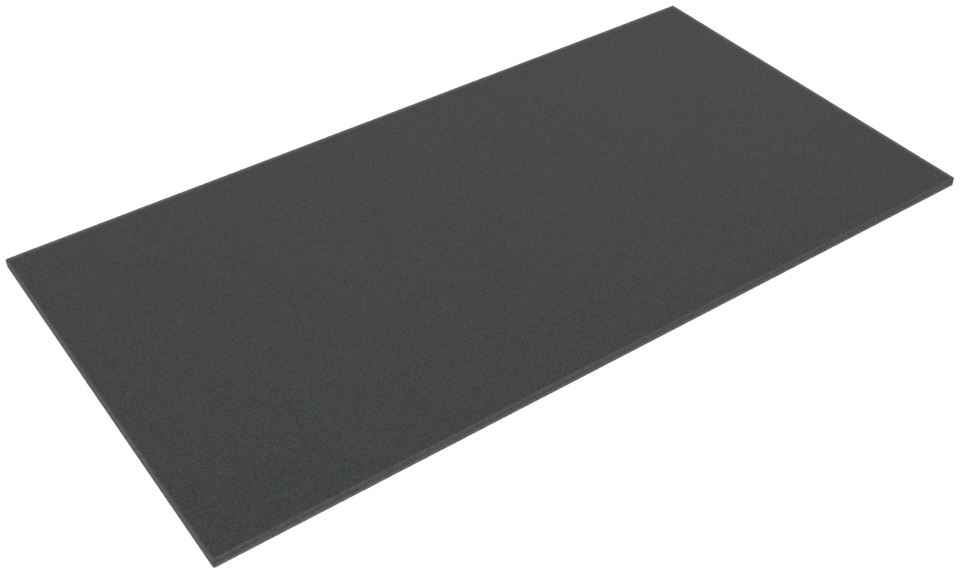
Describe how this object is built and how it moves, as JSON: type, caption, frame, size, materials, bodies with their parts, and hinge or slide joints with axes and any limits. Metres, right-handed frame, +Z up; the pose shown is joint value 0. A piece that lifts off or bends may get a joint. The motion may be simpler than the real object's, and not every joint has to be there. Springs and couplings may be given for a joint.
{
  "type": "foam tray liner sheet",
  "caption": "Flat rectangular sheet of dark grey open-cell foam, cut square, that lines the floor of a tray or drawer and cushions what lies on it.",
  "frame": {"origin": "centre of the underside, where the sheet lies on the tray's floor", "axes": "+X along the sheet's length, +Y across its width, +Z up through its thickness"},
  "size_m": [0.43, 0.222, 0.005],
  "materials": {
    "foam": "matt charcoal-grey open-cell polyurethane foam, fine even pores, slightly lighter and fuzzier where it is cut"
  },
  "bodies": {
    "root": {"foam_sheet": "foam"}
  },
  "joints": []
}
